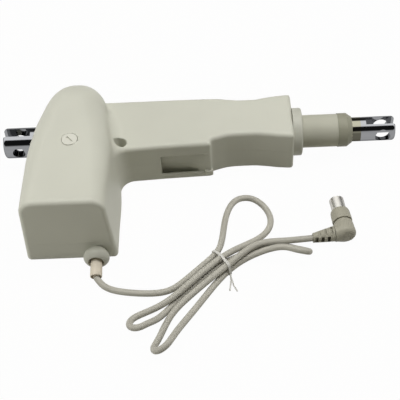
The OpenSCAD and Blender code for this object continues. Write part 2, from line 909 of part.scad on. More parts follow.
// Thread of the lead screw between two stations, grown by a play all round
module screw_thread(x0, x1, play) {
    turns = ceil((x1 - x0) / screw_lead);
    crest_w = 0.3 * screw_lead;
    root_w = crest_w + 1.1 * screw_depth;
    translate([screw_phase_x + screw_lead * floor((x0 - screw_phase_x) / screw_lead), 0, 0])
        rotate([0, 90, 0])
            thread(turns + 1, screw_lead, screw_root_d / 2 + play, screw_d / 2 + play,
                root_w + 2 * play, crest_w + 2 * play, screw_segments);
}

// Station where the crest of the lead screw points straight down
screw_phase_x = nut_back_x;

module spindle_nut() {
    color("#e6e2d4")
        difference() {
            union() {
                rod_x(nut_back_x, rod_back_x, tube_bore_d - 2 * slide_gap);
                rod_x(rod_back_x - 1, nut_front_x, rod_bore_d - 2 * part_gap);
            }
            screw_thread(nut_back_x - screw_lead, nut_front_x + screw_lead, screw_play);
        }
}

// Lead screw with its wheel, stop and bearing

module spindle() {
    shank_d = screw_root_d - 0.4;
    color("#a8abb0")
        difference() {
            union() {
                rod_x(bearing_back_x + part_gap, bearing_front_x + 1, bearing_bore - 2 * part_gap);
                rod_x(bearing_front_x, wheel_back_x - part_gap, thrust_collar_d);
                rod_x(wheel_back_x - 1, bush_front_x + 0.5, journal_d);
                intersection() {
                    screw_thread(screw_start_x, screw_end_x, 0);
                    rod_x(screw_start_x, screw_end_x - 2, screw_d + 4);
                }
                rod_x(screw_end_x - 4, screw_end_x, shank_d);
            }
            rod_x(screw_end_x - 9, screw_end_x + 1, stop_screw_d);
        }
}

// Stop washer and its screw on the end of the lead screw
stop_screw_d = 4;
stop_washer_t = 3;

module end_stop_washer() {
    color("#6f7276")
        ring_x(screw_end_x + part_gap, screw_end_x + stop_washer_t, rod_bore_d - 2 * air_gap,
            stop_screw_d + 2 * part_gap);
}

module end_stop_screw() {
    head_x = screw_end_x + stop_washer_t + part_gap;
    color("#55585c")
        difference() {
            union() {
                rod_x(screw_end_x - 8, head_x + 1, stop_screw_d - 2 * part_gap);
                rod_x(head_x, head_x + 3, stop_screw_d + 3);
            }
            translate([head_x + 1.4, 0, 0])
                rotate([0, 90, 0])
                    cylinder(d = 3.4, h = 4, $fn = 6);
        }
}

// Angle in degrees that an involute has turned at a pressure angle
function involute(a) = tan(a) * 180 / PI - a;

// Outline of the worm wheel, turned by an angle, in the plane across the stroke
function wheel_outline(turn) =
    let (
        base_r = wheel_r * cos(20),
        play = backlash / 2 / wheel_r * 180 / PI,
        radii = [wheel_root_r, max(base_r, wheel_root_r + 0.1), wheel_r, wheel_tip_r],
        middle = 90 / wheel_teeth + involute(20) - play,
        halves = [for (r = radii) middle - involute(acos(min(1, base_r / r)))],
        steps = [for (i = [0 : 3]) [radii[i], -halves[i]], for (i = [3 : -1 : 0]) [radii[i], halves[i]]]
    )
    [
        for (t = [0 : wheel_teeth - 1], s = steps)
            let (a = 90 + turn + 360 * t / wheel_teeth + s[1])
            [s[0] * cos(a), s[0] * sin(a)]
    ];

module worm_wheel() {
    slices = 4;
    lead_slope = worm_lead / (2 * PI * worm_pitch_r);
    stations = [for (i = [0 : slices]) wheel_back_x + wheel_w * i / slices];
    turns = [for (x = stations) lead_slope * (x - wheel_x) / wheel_r * 180 / PI];
    bore_r = (journal_d / 2 + part_gap) / cos(180 / wheel_teeth - 1.75) + 0.02;
    teeth = [for (i = [0 : slices], p = wheel_outline(turns[i])) [stations[i], p[0], p[1]]];
    bore = [
        for (i = [0, slices], t = [0 : wheel_teeth - 1], s = [0 : 7])
            let (a = 90 + turns[i] + 360 * t / wheel_teeth + (s - 3.5) / 2)
            [stations[i], bore_r * cos(a), bore_r * sin(a)]
    ];
    n = 8 * wheel_teeth;
    end = slices * n;
    in = end + n;
    out = in + n;
    faces = [
        for (j = [0 : n - 1])
            let (k = (j + 1) % n)
            each concat(
                [for (i = [0 : n : end - n]) each [[i + j, i + n + j, i + n + k], [i + j, i + n + k, i + k]]],
                [[in + j, out + k, out + j], [in + j, in + k, out + k]],
                [[in + j, j, k], [in + j, k, in + k]],
                [[out + j, end + k, end + j], [out + j, out + k, end + k]]
            )
    ];
    color("#efe9d6")
        polyhedron(concat(teeth, bore), faces);
}

module magnet_ring() {
    color("#4a4640")
        ring_x(wheel_front_x + part_gap, wheel_front_x + magnet_len, magnet_d, journal_d + 2 * part_gap);
}

// Groove that the balls run in
module ball_race() {
    translate([(bearing_front_x + bearing_back_x) / 2, 0, 0])
        rotate([0, 90, 0])
            rotate_extrude()
                translate([ball_pitch_r, 0])
                    circle(d = ball_d + 2 * race_gap);
}

module bearing_inner_ring() {
    color("#b5b8bb")
        difference() {
            ring_x(bearing_back_x, bearing_front_x - part_gap, 2 * (ball_pitch_r - race_land), bearing_bore);
            ball_race();
        }
}

module bearing_outer_ring() {
    color("#b5b8bb")
        difference() {
            ring_x(bearing_back_x, bearing_front_x - part_gap, bearing_od - 2 * part_gap,
                2 * (ball_pitch_r + race_land));
            ball_race();
        }
}

module bearing_balls() {
    color("#d0d3d6")
        for (i = [0 : ball_count - 1])
            translate([(bearing_front_x + bearing_back_x) / 2, 0, 0])
                rotate([360 * i / ball_count, 0, 0])
                    translate([0, ball_pitch_r, 0])
                        sphere(d = ball_d);
}

module rear_clevis() {
    color("#c9cbcd")
        difference() {
            union() {
                mirror([1, 0, 0])
                    translate([-cup_back_x - 1, 0, 0])
                        clevis_bar(cup_back_x + 1 + rear_tip, rear_clevis_d);
                rod_x(cup_back_x, bearing_front_x, cup_d);
            }
            rod_x(bearing_back_x - part_gap, bearing_front_x + 1, bearing_od);
            rod_x(bearing_back_x - cup_recess, bearing_front_x, 2 * ball_pitch_r);
            box([-rear_tip - 1, -rear_slot_w / 2, -rear_clevis_d],
                [rear_slot_depth, rear_slot_w / 2, rear_clevis_d]);
            translate([0, -rear_clevis_d, 0])
                rotate([-90, 0, 0])
                    cylinder(d = rear_hole_d, h = 2 * rear_clevis_d);
        }
}

module spindle_bush() {
    color("#b08a4a")
        ring_x(bush_back_x, bush_front_x, journal_d + 2 * bush_wall, journal_d + 2 * run_gap);
}

// Motor

module motor_can() {
    front_y = -motor_front;
    color("#7d8084")
        difference() {
            union() {
                rod_y(can_back_y, front_y, motor_d);
                rod_y(front_y - 1, front_y + boss_len, boss_d);
            }
            rod_y(can_back_y - 1, front_y - front_wall_t, motor_d - 2 * can_wall);
            rod_y(can_back_y, front_y + boss_len + 1, bush_d + 2 * part_gap);
        }
}

module motor_front_bush() {
    color("#b08a4a")
        ring_y(-motor_front - front_wall_t, -motor_front + boss_len, bush_d, shaft_d + 2 * run_gap);
}

module motor_end_cap() {
    spigot_len = 2.5;
    spigot_d = motor_d - 2 * can_wall - 2 * part_gap;
    pad_front_y = brush_y - brush_w / 2 - holder_wall - part_gap;
    color("#2f3133")
        difference() {
            union() {
                rod_y(end_cap_back_y, can_back_y, motor_d);
                rod_y(can_back_y - 1, can_back_y + spigot_len, spigot_d);
                for (s = [-1, 1])
                    translate([wheel_x + s * holder_mid_r, 0, motor_z])
                        box([-4, can_back_y - 1, -4], [4, pad_front_y, 4]);
            }
            rod_y(can_back_y, can_back_y + spigot_len + 1, commutator_d + 2);
            rod_y(end_cap_back_y + 1, can_back_y + 10, bush_d + 2 * part_gap);
        }
}

// Middle of the brush holders from the motor axis
holder_mid_r = commutator_d / 2 + 7;

module motor_rear_bush() {
    color("#b08a4a")
        ring_y(end_cap_back_y + 1 + part_gap, can_back_y, bush_d, shaft_d + 2 * run_gap);
}

module motor_magnets() {
    outer_d = motor_d - 2 * can_wall - 2 * part_gap;
    inner_d = core_d + 1.6;
    color("#3d3b39")
        difference() {
            ring_y(core_back_y - 2, core_front_y + 2, outer_d, inner_d);
            for (s = [-1, 1])
                translate([wheel_x, 0, motor_z])
                    box([-6 + s * 22, core_back_y - 3, -motor_d], [6 + s * 22, core_front_y + 3, motor_d]);
        }
}

module armature_core() {
    slots = 9;
    slot_w = 2.6;
    color("#6c6f73")
        translate([wheel_x, core_front_y, motor_z])
            rotate([90, 0, 0])
                linear_extrude(core_len)
                    difference() {
                        circle(d = core_d);
                        circle(d = shaft_d + 2 * part_gap);
                        for (i = [0 : slots - 1])
                            rotate(360 * i / slots)
                                translate([core_d / 4 + 1, -slot_w / 2])
                                    square([core_d, slot_w]);
                    }
}

module armature_windings() {
    crown = 2.2;
    color("#b5652d")
        for (y = [core_front_y + part_gap, core_back_y - winding_len - part_gap])
            translate([wheel_x, y, motor_z])
                rotate([-90, 0, 0])
                    difference() {
                        rotate_extrude() {
                            translate([0, crown])
                                square([winding_d / 2, winding_len - 2 * crown]);
                            square([winding_d / 2 - crown, winding_len]);
                            for (h = [crown, winding_len - crown])
                                translate([winding_d / 2 - crown, h])
                                    circle(crown);
                        }
                        translate([0, 0, -1])
                            cylinder(d = shaft_d + 2 * part_gap, h = winding_len + 2);
                    }
}

module commutator() {
    bars = 9;
    color("#b87333")
        translate([wheel_x, commutator_back_y + commutator_len - 2 * part_gap, motor_z])
            rotate([90, 0, 0])
                linear_extrude(commutator_len - 2 * part_gap)
                    difference() {
                        circle(d = commutator_d);
                        circle(d = shaft_d + 2 * part_gap);
                        for (i = [0 : bars - 1])
                            rotate(360 * i / bars)
                                translate([commutator_d / 2 - 1, -0.25])
                                    square([2, 0.5]);
                    }
}

module motor_shaft() {
    color("#b9bcc0")
        rod_y(shaft_back_y, shaft_front_y - part_gap, shaft_d);
}

module worm() {
    depth = worm_tip_r - worm_root_r;
    pitch_w = worm_lead / 2 - backlash;
    crest_w = pitch_w - 2 * (worm_tip_r - worm_pitch_r) * tan(20);
    root_w = crest_w + 2 * depth * tan(20);
    turns = ceil(worm_len / worm_lead) + 2;
    color("#9a9da2")
        difference() {
            intersection() {
                translate([wheel_x, worm_lead * (0.25 - ceil(turns / 2)), motor_z])
                    rotate([-90, 0, 0])
                        thread(turns, worm_lead, worm_root_r, worm_tip_r, root_w, crest_w, worm_segments);
                rod_y(-worm_len / 2, worm_len / 2, 4 * worm_tip_r);
            }
            rod_y(-worm_len, worm_len, shaft_d + 2 * part_gap);
        }
}

module worm_end_bush() {
    color("#b08a4a")
        ring_y(worm_bush_y, shaft_front_y, worm_bush_d, shaft_d + 2 * run_gap);
}

module brushes() {
    color("#2b2b2b")
        for (s = [-1, 1])
            translate([wheel_x, brush_y, motor_z])
                rotate([0, s * 90, 0])
                    difference() {
                        translate([-brush_w / 2, -brush_w / 2, 0])
                            cube([brush_w, brush_w, commutator_d / 2 + brush_len]);
                        rotate([90, 0, 0])
                            cylinder(d = commutator_d + 4 * run_gap, h = 3 * brush_w, center = true);
                    }
}

module brush_holders() {
    outer = brush_w + 2 * holder_wall;
    inner = brush_w + 2 * part_gap;
    start = commutator_d / 2 + 2;
    color("#b08a4a")
        for (s = [-1, 1])
            translate([wheel_x, brush_y, motor_z])
                rotate([0, s * 90, 0])
                    translate([0, 0, start])
                        difference() {
                            translate([-outer / 2, -outer / 2, 0])
                                cube([outer, outer, brush_len + 2]);
                            translate([-inner / 2, -inner / 2, -1])
                                cube([inner, inner, brush_len + 2]);
                        }
}

// Electronics

module circuit_board() {
    color("#3f6b3a")
        translate([wheel_x - board_w / 2, board_y, board_z])
            cube([board_w, board_len, board_t]);
}

module board_parts() {
    top = board_z + board_t;
    color("#26282a") {
        translate([wheel_x - 18, board_y + 6, top])
            cube([15, 10, 3]);
        translate([wheel_x + 2, board_y + 6, top])
            cube([12, 10, 3]);
        for (i = [0 : 3])
            translate([wheel_x - 15 + 9 * i, board_y + 28, top])
                cylinder(d = 5, h = 2.6);
    }
}

module sensor_board() {
    gap = 1;
    top = -magnet_d / 2 - gap;
    x = wheel_front_x + 0.6;
    color("#3f6b3a")
        union() {
            box([x, -14, floor_z], [x + board_t, 2, top]);
            box([x + board_t - eps, -3, top - 3.5], [x + board_t + 1, 1, top - 0.5]);
        }
}

// Cable gland and cord

module cable_gland() {
    r = gland_d / 2;
    nose_r = relief_r + 2.8;
    color("#bdb9aa")
        translate([gland_x, near_y, gland_z])
            rotate([90, 0, 0])
                difference() {
                    union() {
                        rotate_extrude()
                            polygon([
                                [0, part_gap], [r - 0.1, part_gap], [r - 0.1, 2],
                                [nose_r + 1.2, gland_len - 1.2], [nose_r, gland_len], [0, gland_len]
                            ]);
                        translate([0, 0, -wall - gland_nut_len])
                            cylinder(d = gland_hole_d, h = wall + gland_nut_len + 1);
                    }
                    translate([0, 0, -wall - gland_nut_len - 1])
                        cylinder(r = relief_r + 0.3, h = gland_len + wall + gland_nut_len + 2);
                }
}

module gland_nut() {
    color("#8c8a80")
        translate([gland_x, near_y + wall + part_gap, gland_z])
            rotate([-90, 0, 0])
                difference() {
                    cylinder(d = gland_nut_d, h = gland_nut_len - part_gap);
                    translate([0, 0, -1])
                        cylinder(d = gland_hole_d + 2 * part_gap, h = gland_nut_len + 2);
                }
}

module strain_relief() {
    end = cord_route[0];
    line = [
        [gland_x, near_y + wall, gland_z], [gland_x, gland_front_y, gland_z],
        [(gland_x + end[0]) / 2, (gland_front_y + end[1]) / 2, gland_z - 1.2], end
    ];
    color("#cdc0ab")
        tube_along(line, [relief_r, relief_r, relief_r * 0.97, relief_r * 0.9], 12);
}

module cord() {
    line = smooth_line(cord_route, cord_steps);
    color("#aeaba0")
        tube_along(line, [for (p = line) cord_d / 2], cord_sides);
}

module cord_tie() {
    room = cord_d / 2 + 0.25;
    color("#f2f1ec") {
        translate([tie_at[0], tie_at[1], 0])
            rotate([0, 0, tie_turn + 90])
                rotate([90, 0, 0])
                    linear_extrude(tie_w, center = true)
                        difference() {
                            hull()
                                for (s = tie_strands)
                                    translate(s)
                                        circle(room + tie_t, $fn = 32);
                            hull()
                                for (s = tie_strands)
                                    translate(s)
                                        circle(room, $fn = 32);
                        }
        for (t = tie_tails)
            tube_along(t, [for (p = t) tail_r], 8);
    }
}

// Plug, drawn pointing along +Y with its bend at the origin
module plug_place() {
    translate(plug_at)
        rotate([0, 0, plug_turn])
            children();
}

// Cylinder along +Y between two stations
module plug_rod(y0, y1, d) {
    translate([0, y0, 0])
        rotate([-90, 0, 0])
            cylinder(d = d, h = y1 - y0);
}

module plug_relief() {
    ribs = 4;
    sides = 16;
    color("#b2ad9c")
        translate(plug_at - [0, neck_shift, 0])
            rotate([0, 0, neck_turn])
                loft([
                    for (i = [0 : 2 * ribs])
                        let (
                            t = i / (2 * ribs),
                            r = neck_end_r + (neck_r - neck_end_r) * t - (i % 2 == 0 ? 0 : 0.7)
                        )
                        [for (j = [0 : sides - 1])
                            [-plug_neck - part_gap - neck_len * (1 - t), r * cos(360 * j / sides),
                                r * sin(360 * j / sides) - neck_drop * (1 - t)]]
                ]);
}

module plug_body() {
    r = plug_d / 2;
    color("#b2ad9c")
        plug_place()
            hull() {
                plug_rod(plug_heel_round - plug_heel, plug_joint_y, plug_d, $fn = 32);
                plug_rod(-plug_heel, 0, plug_d - 2 * plug_heel_round, $fn = 32);
                translate([0, -neck_shift, 0])
                    rotate([0, -90, neck_turn - plug_turn])
                        cylinder(r1 = r * 0.8, r2 = r * 0.75, h = plug_neck, $fn = 32);
            }
}

module plug_ring() {
    color("#aaa594")
        plug_place()
            difference() {
                plug_rod(plug_joint_y + 0.6, plug_joint_y + plug_ring_len, plug_ring_d);
                plug_rod(plug_shell_y - part_gap, plug_joint_y + plug_ring_len + 1,
                    plug_shell_d + 2 * part_gap);
            }
}

// Station where the metal shell starts inside the ring
plug_shell_y = plug_joint_y + plug_ring_len - 4 + part_gap;

module plug_shell() {
    color("#d9dadb")
        plug_place()
            difference() {
                plug_rod(plug_shell_y, plug_shell_y + plug_shell_len + 4, plug_shell_d);
                plug_rod(plug_shell_y - 1, plug_shell_y + plug_shell_len + 5,
                    plug_shell_d - 2 * plug_shell_t);
            }
}

module plug_insert() {
    color("#3c3b38")
        plug_place()
            plug_rod(plug_shell_y, plug_shell_y + plug_insert_len,
                plug_shell_d - 2 * plug_shell_t - 2 * part_gap);
}

module plug_pins() {
    pitch_r = plug_shell_d * 0.27;
    start = plug_shell_y + plug_insert_len + part_gap;
    color("#d8c27a")
        plug_place()
            for (a = [-90 : 45 : 90])
                translate([pitch_r * sin(a), 0, pitch_r * cos(a)])
                    plug_rod(start, start + pin_len, pin_d);
}

upper_shell();
lower_shell();
top_screw();
cover_screws();
slotted_plug();
tube_collar();
outer_tube();
tube_cap();
rod_wiper();
guide_bush();
piston_rod();
front_clevis();
spindle_nut();
spindle();
end_stop_washer();
end_stop_screw();
worm_wheel();
magnet_ring();
bearing_inner_ring();
bearing_outer_ring();
bearing_balls();
rear_clevis();
spindle_bush();
motor_can();
motor_end_cap();
motor_magnets();
motor_front_bush();
motor_rear_bush();
armature_core();
armature_windings();
commutator();
motor_shaft();
worm();
worm_end_bush();
brushes();
brush_holders();
circuit_board();
board_parts();
sensor_board();
cable_gland();
gland_nut();
strain_relief();
cord();
cord_tie();
plug_relief();
plug_body();
plug_ring();
plug_shell();
plug_insert();
plug_pins();
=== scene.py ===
import json
import math

import bmesh
import bpy
import numpy as np
from mathutils import Matrix, Vector


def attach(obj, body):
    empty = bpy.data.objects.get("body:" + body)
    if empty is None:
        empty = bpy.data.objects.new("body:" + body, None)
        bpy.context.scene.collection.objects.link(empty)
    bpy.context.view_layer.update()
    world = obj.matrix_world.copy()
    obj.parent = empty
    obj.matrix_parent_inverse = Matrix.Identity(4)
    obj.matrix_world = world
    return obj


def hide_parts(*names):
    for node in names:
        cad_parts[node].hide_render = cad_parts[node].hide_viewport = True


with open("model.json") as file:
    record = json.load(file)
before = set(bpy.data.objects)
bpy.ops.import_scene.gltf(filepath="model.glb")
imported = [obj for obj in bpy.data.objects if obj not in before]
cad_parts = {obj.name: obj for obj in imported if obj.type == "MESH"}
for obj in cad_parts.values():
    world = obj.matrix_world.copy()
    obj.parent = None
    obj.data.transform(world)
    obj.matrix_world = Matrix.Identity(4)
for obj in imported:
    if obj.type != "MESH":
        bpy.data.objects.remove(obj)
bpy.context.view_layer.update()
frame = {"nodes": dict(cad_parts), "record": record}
NODES = frame["nodes"]
MM = 0.001
BASE = -21.0


# Camera: angles in degrees, the point that it looks at and its distance from it in millimetres

CAMERA_TILT = 49.1
CAMERA_SWING = -1.34
CAMERA_ROLL = -3.30
CAMERA_AIM = (148.3, -70.8, 0)
CAMERA_AWAY = 744.3
CAMERA_LENS = 85.5
CAMERA_SENSOR = 36


def make_camera():
    tilt, swing, roll = (math.radians(a) for a in (CAMERA_TILT, CAMERA_SWING, CAMERA_ROLL))
    forward = Vector((math.sin(swing) * math.cos(tilt), math.cos(swing) * math.cos(tilt), -math.sin(tilt)))
    level = Vector((math.cos(swing), -math.sin(swing), 0))
    raised = level.cross(forward)
    right = level * math.cos(roll) + raised * math.sin(roll)
    up = raised * math.cos(roll) - level * math.sin(roll)
    place = (Vector(CAMERA_AIM) - CAMERA_AWAY * forward) * MM
    data = bpy.data.cameras.new("camera")
    data.sensor_width = CAMERA_SENSOR
    data.lens = CAMERA_LENS
    data.clip_start = 0.01
    data.clip_end = 20
    camera = bpy.data.objects.new("camera", data)
    turn = Matrix((right, up, -forward)).transposed().to_4x4()
    camera.matrix_world = Matrix.Translation(place) @ turn
    bpy.context.scene.collection.objects.link(camera)
    bpy.context.scene.camera = camera


make_camera()


# Materials

def tree_of(name):
    m = bpy.data.materials.new(name)
    m.use_nodes = True
    nodes = m.node_tree.nodes
    shader = nodes["Principled BSDF"]
    return m, nodes, m.node_tree.links, shader


def ramp(nodes, stops):
    r = nodes.new("ShaderNodeValToRGB")
    while len(r.color_ramp.elements) < len(stops):
        r.color_ramp.elements.new(0.5)
    for e, (at, colour) in zip(r.color_ramp.elements, stops):
        e.position = at
        e.color = (*colour, 1)
    return r


def shade(colour, k):
    return tuple(min(1, c * k) for c in colour)


def moulded(name, colour, rough, grain, depth, spread=0.05, sheen=0.0, specular=0.4):
    """Moulded plastic or rubber: fine grain in the surface, soft changes of tone, uneven gloss."""
    m, nodes, links, shader = tree_of(name)
    place = nodes.new("ShaderNodeTexCoord").outputs["Object"]
    cloud = nodes.new("ShaderNodeTexNoise")
    cloud.inputs["Scale"].default_value = 26
    cloud.inputs["Detail"].default_value = 4
    links.new(place, cloud.inputs["Vector"])
    tone = ramp(nodes, [(0.3, shade(colour, 1 - spread)), (0.7, shade(colour, 1 + spread))])
    links.new(cloud.outputs["Fac"], tone.inputs["Fac"])
    links.new(tone.outputs["Color"], shader.inputs["Base Color"])
    fine = nodes.new("ShaderNodeTexNoise")
    fine.inputs["Scale"].default_value = grain
    fine.inputs["Detail"].default_value = 3
    links.new(place, fine.inputs["Vector"])
    bump = nodes.new("ShaderNodeBump")
    bump.inputs["Strength"].default_value = 0.35
    bump.inputs["Distance"].default_value = depth
    links.new(fine.outputs["Fac"], bump.inputs["Height"])
    links.new(bump.outputs["Normal"], shader.inputs["Normal"])
    gloss = nodes.new("ShaderNodeMapRange")
    gloss.inputs["To Min"].default_value = rough - 0.06
    gloss.inputs["To Max"].default_value = rough + 0.08
    links.new(fine.outputs["Fac"], gloss.inputs["Value"])
    links.new(gloss.outputs["Result"], shader.inputs["Roughness"])
    shader.inputs["Specular IOR Level"].default_value = specular
    shader.inputs["Sheen Weight"].default_value = sheen
    return m


def metal(name, colour, rough, streaks, depth=0.00001, spread=0.08):
    """Turned or plated metal: fine streaks along one direction, and slightly uneven gloss."""
    m, nodes, links, shader = tree_of(name)
    mapping = nodes.new("ShaderNodeMapping")
    mapping.inputs["Scale"].default_value = streaks
    links.new(nodes.new("ShaderNodeTexCoord").outputs["Object"], mapping.inputs["Vector"])
    fine = nodes.new("ShaderNodeTexNoise")
    fine.inputs["Scale"].default_value = 1
    fine.inputs["Detail"].default_value = 5
    links.new(mapping.outputs["Vector"], fine.inputs["Vector"])
    tone = ramp(nodes, [(0.25, shade(colour, 1 - spread)), (0.75, shade(colour, 1 + spread / 2))])
    links.new(fine.outputs["Fac"], tone.inputs["Fac"])
    links.new(tone.outputs["Color"], shader.inputs["Base Color"])
    gloss = nodes.new("ShaderNodeMapRange")
    gloss.inputs["To Min"].default_value = max(0.02, rough * 0.6)
    gloss.inputs["To Max"].default_value = rough * 1.5
    links.new(fine.outputs["Fac"], gloss.inputs["Value"])
    links.new(gloss.outputs["Result"], shader.inputs["Roughness"])
    bump = nodes.new("ShaderNodeBump")
    bump.inputs["Strength"].default_value = 0.2
    bump.inputs["Distance"].default_value = depth
    links.new(fine.outputs["Fac"], bump.inputs["Height"])
    links.new(bump.outputs["Normal"], shader.inputs["Normal"])
    shader.inputs["Metallic"].default_value = 1
    shader.inputs["Specular Tint"].default_value = (0.4, 0.4, 0.4, 1)
    return m


def paint_dark_reflection_below(m, low, high, share):
    """Painted dark reflection on the underside: the tone falls to a share of itself between two heights, in
    metres.
    """
    nodes, links = m.node_tree.nodes, m.node_tree.links
    base = nodes["Principled BSDF"].inputs["Base Color"]
    tone = base.links[0].from_socket
    place = nodes.new("ShaderNodeSeparateXYZ")
    links.new(nodes.new("ShaderNodeTexCoord").outputs["Object"], place.inputs["Vector"])
    fade = nodes.new("ShaderNodeMapRange")
    fade.inputs["From Min"].default_value = low
    fade.inputs["From Max"].default_value = high
    fade.inputs["To Min"].default_value = share
    links.new(place.outputs["Z"], fade.inputs["Value"])
    painted_darkening = nodes.new("ShaderNodeVectorMath")
    painted_darkening.operation = "SCALE"
    links.new(tone, painted_darkening.inputs[0])
    links.new(fade.outputs["Result"], painted_darkening.inputs["Scale"])
    links.new(painted_darkening.outputs[0], base)


CREAM = (0.578, 0.577, 0.497)
LOOKS = {
    "casing_plastic": moulded("casing_plastic", CREAM, 0.5, 2600, 0.00004, 0.02),
    "cap_plastic": moulded("cap_plastic", (0.285, 0.28, 0.215), 0.55, 2200, 0.00005, 0.03),
    "gear_plastic": moulded("gear_plastic", (0.78, 0.74, 0.62), 0.42, 1800, 0.00003, 0.03),
    "dark_plastic": moulded("dark_plastic", (0.03, 0.03, 0.032), 0.45, 2400, 0.00004, 0.1),
    "chrome": metal("chrome", (0.29, 0.295, 0.305), 0.07, (40, 900, 900)),
    "steel": metal("steel", (0.52, 0.53, 0.55), 0.25, (900, 60, 900)),
    "aluminium": moulded("painted_tube", (0.47, 0.465, 0.385), 0.5, 900, 0.00002, 0.02, specular=0.12),
    "bronze": metal("bronze", (0.55, 0.36, 0.16), 0.38, (1500, 1500, 1500)),
    "copper": metal("copper", (0.62, 0.26, 0.11), 0.3, (300, 2500, 2500), 0.00008),
    "rubber": moulded("rubber", (0.02, 0.02, 0.02), 0.7, 1500, 0.00005, 0.1),
    "magnet": moulded("magnet", (0.045, 0.042, 0.04), 0.6, 1200, 0.00006, 0.12),
    "board": moulded("board", (0.03, 0.19, 0.07), 0.35, 900, 0.00003, 0.08),
    "relief": moulded("relief", (0.66, 0.595, 0.485), 0.5, 1800, 0.00005, 0.03),
    "cord_jacket": moulded("cord_jacket", (0.42, 0.405, 0.35), 0.5, 1500, 0.00004, 0.05, sheen=0.1),
    "tie_plastic": moulded("tie_plastic", (0.60, 0.59, 0.55), 0.45, 2500, 0.00003, 0.03),
    "plug_plastic": moulded("plug_plastic", (0.34, 0.325, 0.26), 0.5, 2000, 0.00005, 0.03),
}
NICKEL = metal("nickel", (0.74, 0.72, 0.67), 0.34, (900, 900, 900))
WARM_CHROME = metal("warm_chrome", (0.29, 0.28, 0.215), 0.06, (40, 900, 900))
# Painted dark reflection: the piston rod's colour darkens towards its underside.
paint_dark_reflection_below(WARM_CHROME, 0.004, 0.006, 0.36)
PALE = moulded("pale_plastic", (0.64, 0.635, 0.555), 0.42, 2600, 0.00003, 0.02)
# Painted shade: a darker copy of the casing plastic for the tube collar and the cable gland, which are the
# same plastic as the casing.
SHADED_CREAM = moulded("shaded_cream_plastic", shade(CREAM, 0.85), 0.5, 2600, 0.00004, 0.02)
SPECIAL = {"plug_shell": NICKEL, "piston_rod": WARM_CHROME, "slotted_plug": PALE, "top_screw": NICKEL,
           "tube_collar": SHADED_CREAM}

NODE_SHARP = math.radians(20)

for part in frame["record"]["subparts"]:
    thing = NODES[part["node"]]
    thing.data.materials.clear()
    thing.data.materials.append(SPECIAL.get(part["node"], LOOKS[part["material_slot"]]))
    thing.data.polygons.foreach_set("use_smooth", [True] * len(thing.data.polygons))
    thing.data.set_sharp_from_angle(angle=NODE_SHARP)


# Cord: the route's points are those of the part's source, in millimetres

CORD_R = 2.5
CORD_STEPS = 8
CORD_SIDES = 6
FOLD_R = 8.4
FOLD_TURNS = (-112.5, -67.5, -22.5, 22.5, 67.5, 112.5)


def fold(centre, heading, tilt):
    """Control points of a tight fold: its centre, the heading of its tip and the tilt of its plane."""
    heading, tilt = math.radians(heading), math.radians(tilt)
    along = Vector((math.cos(heading), math.sin(heading), 0))
    across = Vector((-math.sin(heading) * math.cos(tilt), math.cos(heading) * math.cos(tilt), math.sin(tilt)))
    turns = [math.radians(a) for a in FOLD_TURNS]
    return [Vector(centre) + FOLD_R * (math.cos(a) * along + math.sin(a) * across) for a in turns]


ROUTE = [
    (68, -131, -14.5), (74.5, -140, -19), (97, -145.5, -17.5), (121.5, -146.5, -18), (133.5, -137, -17.5),
    (154, -116.5, -17.5), (164, -106.5, -17.5), (166.5, -77, -18), (173, -59, -18), (182, -53.5, -18.5),
    (193, -56, -18), (203.5, -70, -18.5), (204, -87, -17.5), (193, -98.5, -18.5), (171, -112, -12.5),
    (154, -126.5, -12), (135, -145.5, -12), (119.5, -159.5, -14),
    *fold((101.5, -172, -15), -145, 26),
    (115.5, -170.5, -16), (126.5, -155, -19), (146, -137, -17), (162.5, -120.5, -17.5),
    (182.5, -112, -17), (203, -103.5, -16.5),
    *fold((223, -114, -12.5), -17, 130),
    (209.5, -112.5, -8), (190, -114, -14), (171.5, -123, -17.5), (157.5, -139, -18), (143.5, -161, -16),
    (130, -182, -11.5),
    *fold((118.5, -192.5, -13), -124, 222),
    (123.5, -167, -16), (134.5, -155.5, -14.5), (153.5, -138, -13), (172.5, -122.5, -11.5),
    (190, -107, -9.5), (210.5, -106, -11.5), (234.7, -100.1, -16.5),
]


def smooth_line(points, k):
    """Cubic line along the points, with k steps from each one to the next."""
    p = [Vector(v) for v in points]
    q = [2 * p[0] - p[1], *p, 2 * p[-1] - p[-2]]
    line = []
    for i in range(len(p) - 1):
        for s in range(k):
            t = s / k
            line.append(((1 - t) ** 3 * q[i] + (3 * t ** 3 - 6 * t ** 2 + 4) * q[i + 1]
                         + (3 * t * (1 + t - t * t) + 1) * q[i + 2] + t ** 3 * q[i + 3]) / 6)
    return line + [p[-1]]


def tube_curve(name, line, radius, look):
    data = bpy.data.curves.new(name, "CURVE")
    data.dimensions = "3D"
    data.bevel_depth = radius * MM
    data.bevel_resolution = CORD_SIDES
    data.use_fill_caps = True
    spline = data.splines.new("POLY")
    spline.points.add(len(line) - 1)
    for i, p in enumerate(line):
        spline.points[i].co = (p[0] * MM, p[1] * MM, p[2] * MM, 1)
    spline.use_smooth = True
    data.materials.append(look)
    thing = bpy.data.objects.new(name, data)
    bpy.context.scene.collection.objects.link(thing)
    return thing


cord = tube_curve("cord_jacket", smooth_line(ROUTE, CORD_STEPS), CORD_R, LOOKS["cord_jacket"])
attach(cord, "casing")
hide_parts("cord")


# Casing: the outside as one field, from which both shells are cut

